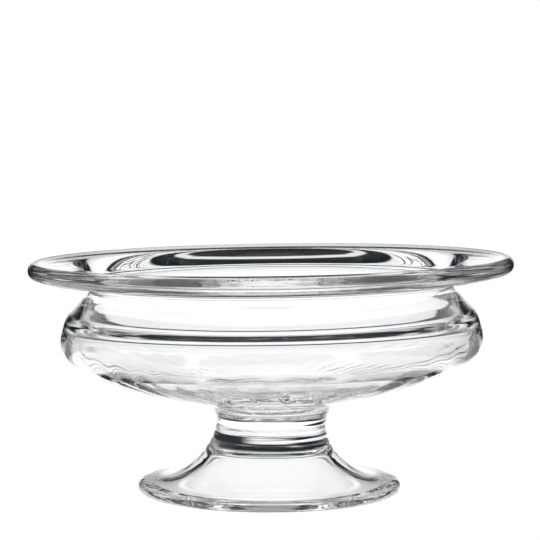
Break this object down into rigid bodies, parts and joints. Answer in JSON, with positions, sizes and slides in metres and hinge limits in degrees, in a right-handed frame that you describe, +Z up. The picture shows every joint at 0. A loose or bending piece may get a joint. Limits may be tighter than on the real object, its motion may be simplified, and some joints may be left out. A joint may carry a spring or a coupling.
{
  "type": "footed glass trifle bowl",
  "caption": "Wide clear-glass serving bowl with a rounded belly, a necked-in shoulder and a broad turned-out rim, on a short solid stem and a hollow spreading foot.",
  "frame": {"origin": "centre of the foot on the table plane", "axes": "+Z up along the axis that all three pieces are turned about; X and Y are alike"},
  "size_m": [0.24, 0.24, 0.1159],
  "materials": {
    "bowl_glass": "clear, fire-polished",
    "stem_glass": "clear, fire-polished",
    "foot_glass": "clear, fire-polished"
  },
  "bodies": {
    "root": {"bowl": "bowl_glass", "stem": "stem_glass", "foot": "foot_glass"}
  },
  "joints": []
}
